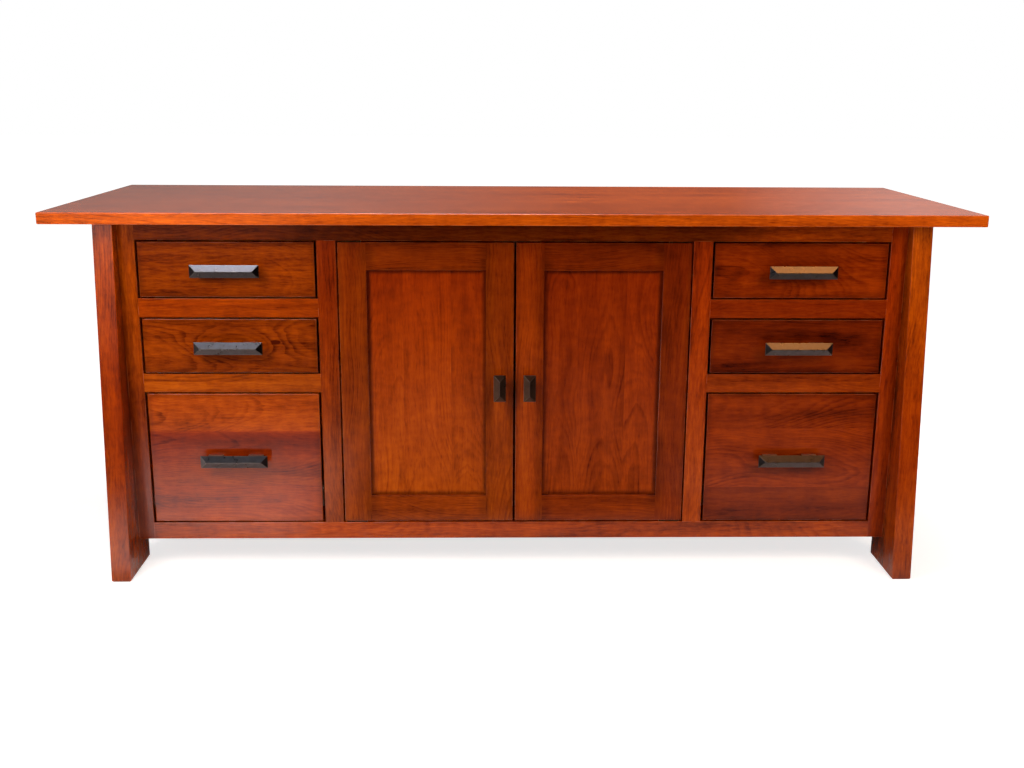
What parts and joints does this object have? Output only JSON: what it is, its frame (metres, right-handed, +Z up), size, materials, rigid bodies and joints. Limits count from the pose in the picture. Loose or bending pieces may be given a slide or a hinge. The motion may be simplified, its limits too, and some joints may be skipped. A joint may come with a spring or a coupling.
{
  "type": "credenza",
  "caption": "Long low office credenza: overhanging top, inset panelled doors between stacks of box and file drawers with faceted bar pulls, and plank legs that lean out to the floor.",
  "frame": {"origin": "on the floor under the middle of the case", "axes": "+X to the right along the top, -Y out of the front, +Z up"},
  "size_m": [1.848, 0.6496, 0.762],
  "materials": {
    "cherry": "stained, semi-gloss lacquer",
    "cherry_veneer": "stained veneer, satin lacquer",
    "drawer_maple": "clear satin lacquer",
    "slide_steel": "zinc plated",
    "hinge_brass": "satin",
    "pull_bronze": "dark patinated bronze, satin",
    "catch_plastic": "moulded"
  },
  "bodies": {
    "case": {"bottom_rail": "cherry", "case_back": "cherry_veneer", "case_bottom": "cherry_veneer", "case_end_left": "cherry", "case_end_right": "cherry", "door_catch": "catch_plastic", "drawer_rails": "cherry", "frame_hinge_leaves": "hinge_brass", "front_leg_left": "cherry", "front_leg_right": "cherry", "mullion_left": "cherry", "mullion_right": "cherry", "partition_left": "cherry", "partition_right": "cherry", "rear_leg_left": "cherry", "rear_leg_right": "cherry", "shelf": "cherry_veneer", "shelf_pins": "slide_steel", "slide_case_members": "slide_steel", "stile_left": "cherry", "stile_right": "cherry", "top_rail": "cherry", "top_slab": "cherry", "top_stretchers": "cherry"},
    "left_door": {"left_door_frame": "cherry", "left_door_panel": "cherry", "left_door_pull": "pull_bronze", "left_door_hinge_leaves": "hinge_brass"},
    "left_top_drawer": {"left_top_drawer_front": "cherry", "left_top_drawer_box": "drawer_maple", "left_top_drawer_pull": "pull_bronze", "left_top_drawer_slides": "slide_steel"},
    "left_middle_drawer": {"left_middle_drawer_front": "cherry", "left_middle_drawer_box": "drawer_maple", "left_middle_drawer_pull": "pull_bronze", "left_middle_drawer_slides": "slide_steel"},
    "left_file_drawer": {"left_file_drawer_front": "cherry", "left_file_drawer_box": "drawer_maple", "left_file_drawer_pull": "pull_bronze", "left_file_drawer_slides": "slide_steel"},
    "left_file_slide_middle": {"left_file_slide_middles": "slide_steel"},
    "right_door": {"right_door_frame": "cherry", "right_door_panel": "cherry", "right_door_pull": "pull_bronze", "right_door_hinge_leaves": "hinge_brass"},
    "right_top_drawer": {"right_top_drawer_front": "cherry", "right_top_drawer_box": "drawer_maple", "right_top_drawer_pull": "pull_bronze", "right_top_drawer_slides": "slide_steel"},
    "right_middle_drawer": {"right_middle_drawer_front": "cherry", "right_middle_drawer_box": "drawer_maple", "right_middle_drawer_pull": "pull_bronze", "right_middle_drawer_slides": "slide_steel"},
    "right_file_drawer": {"right_file_drawer_front": "cherry", "right_file_drawer_box": "drawer_maple", "right_file_drawer_pull": "pull_bronze", "right_file_drawer_slides": "slide_steel"},
    "right_file_slide_middle": {"right_file_slide_middles": "slide_steel"}
  },
  "joints": [
    {"name": "left_door_hinge", "type": "hinge", "parent": "case", "child": "left_door", "pos_m": [-0.3505, -0.2395, 0.4005], "axis": [0, 0, -1], "range_deg": [0, 90]},
    {"name": "left_top_drawer_slide", "type": "slide", "parent": "case", "child": "left_top_drawer", "axis": [0, -1, 0], "range_m": [0, 0.335]},
    {"name": "left_middle_drawer_slide", "type": "slide", "parent": "case", "child": "left_middle_drawer", "axis": [0, -1, 0], "range_m": [0, 0.335]},
    {"name": "left_file_drawer_slide", "type": "slide", "parent": "case", "child": "left_file_drawer", "axis": [0, -1, 0], "range_m": [0, 0.45]},
    {"name": "left_file_middle_slide", "type": "slide", "parent": "case", "child": "left_file_slide_middle", "axis": [0, -1, 0], "range_m": [0, 0.225]},
    {"name": "right_door_hinge", "type": "hinge", "parent": "case", "child": "right_door", "pos_m": [0.3505, -0.2395, 0.4005], "axis": [0, 0, 1], "range_deg": [0, 90]},
    {"name": "right_top_drawer_slide", "type": "slide", "parent": "case", "child": "right_top_drawer", "axis": [0, -1, 0], "range_m": [0, 0.335]},
    {"name": "right_middle_drawer_slide", "type": "slide", "parent": "case", "child": "right_middle_drawer", "axis": [0, -1, 0], "range_m": [0, 0.335]},
    {"name": "right_file_drawer_slide", "type": "slide", "parent": "case", "child": "right_file_drawer", "axis": [0, -1, 0], "range_m": [0, 0.45]},
    {"name": "right_file_middle_slide", "type": "slide", "parent": "case", "child": "right_file_slide_middle", "axis": [0, -1, 0], "range_m": [0, 0.225]}
  ],
  "couplings": [
    {"joint": "left_file_middle_slide", "follows": "left_file_drawer_slide", "ratio": 0.5},
    {"joint": "right_file_middle_slide", "follows": "right_file_drawer_slide", "ratio": 0.5}
  ]
}
